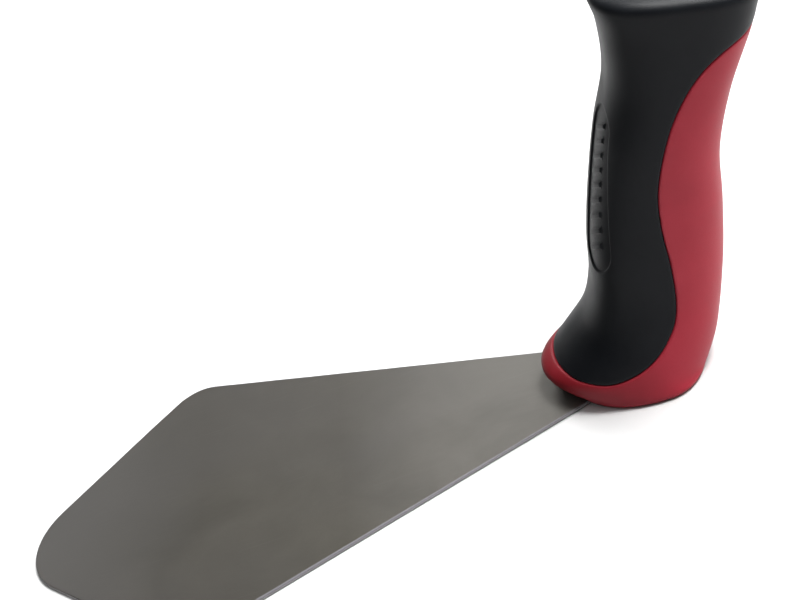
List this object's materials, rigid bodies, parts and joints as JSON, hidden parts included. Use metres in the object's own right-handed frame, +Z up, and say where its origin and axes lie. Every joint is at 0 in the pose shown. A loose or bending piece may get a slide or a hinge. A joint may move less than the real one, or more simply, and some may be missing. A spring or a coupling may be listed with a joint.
{
  "type": "kite-bladed corner trowel",
  "caption": "Hand trowel with a flat kite-shaped stainless blade, a square rounded tip and an upright, back-leaning soft-grip handle.",
  "frame": {"origin": "on the blade's underside, below the middle of the handle's foot", "axes": "+X from the blade's tip towards the back of the handle, +Z up out of the blade on the handle's side, +Y across the blade"},
  "size_m": [0.2318, 0.1062, 0.1078],
  "materials": {
    "blade_steel": "satin stainless sheet",
    "tang_steel": "plain cold-rolled strap",
    "rivet_steel": "flush-ground stainless",
    "core_plastic": "matte red moulding",
    "grip_rubber": "soft matte black overmould"
  },
  "bodies": {
    "root": {"blade": "blade_steel", "tang": "tang_steel", "rivet_front_near": "rivet_steel", "rivet_front_far": "rivet_steel", "rivet_heel": "rivet_steel", "handle_core": "core_plastic", "grip_overmould": "grip_rubber"}
  },
  "joints": []
}
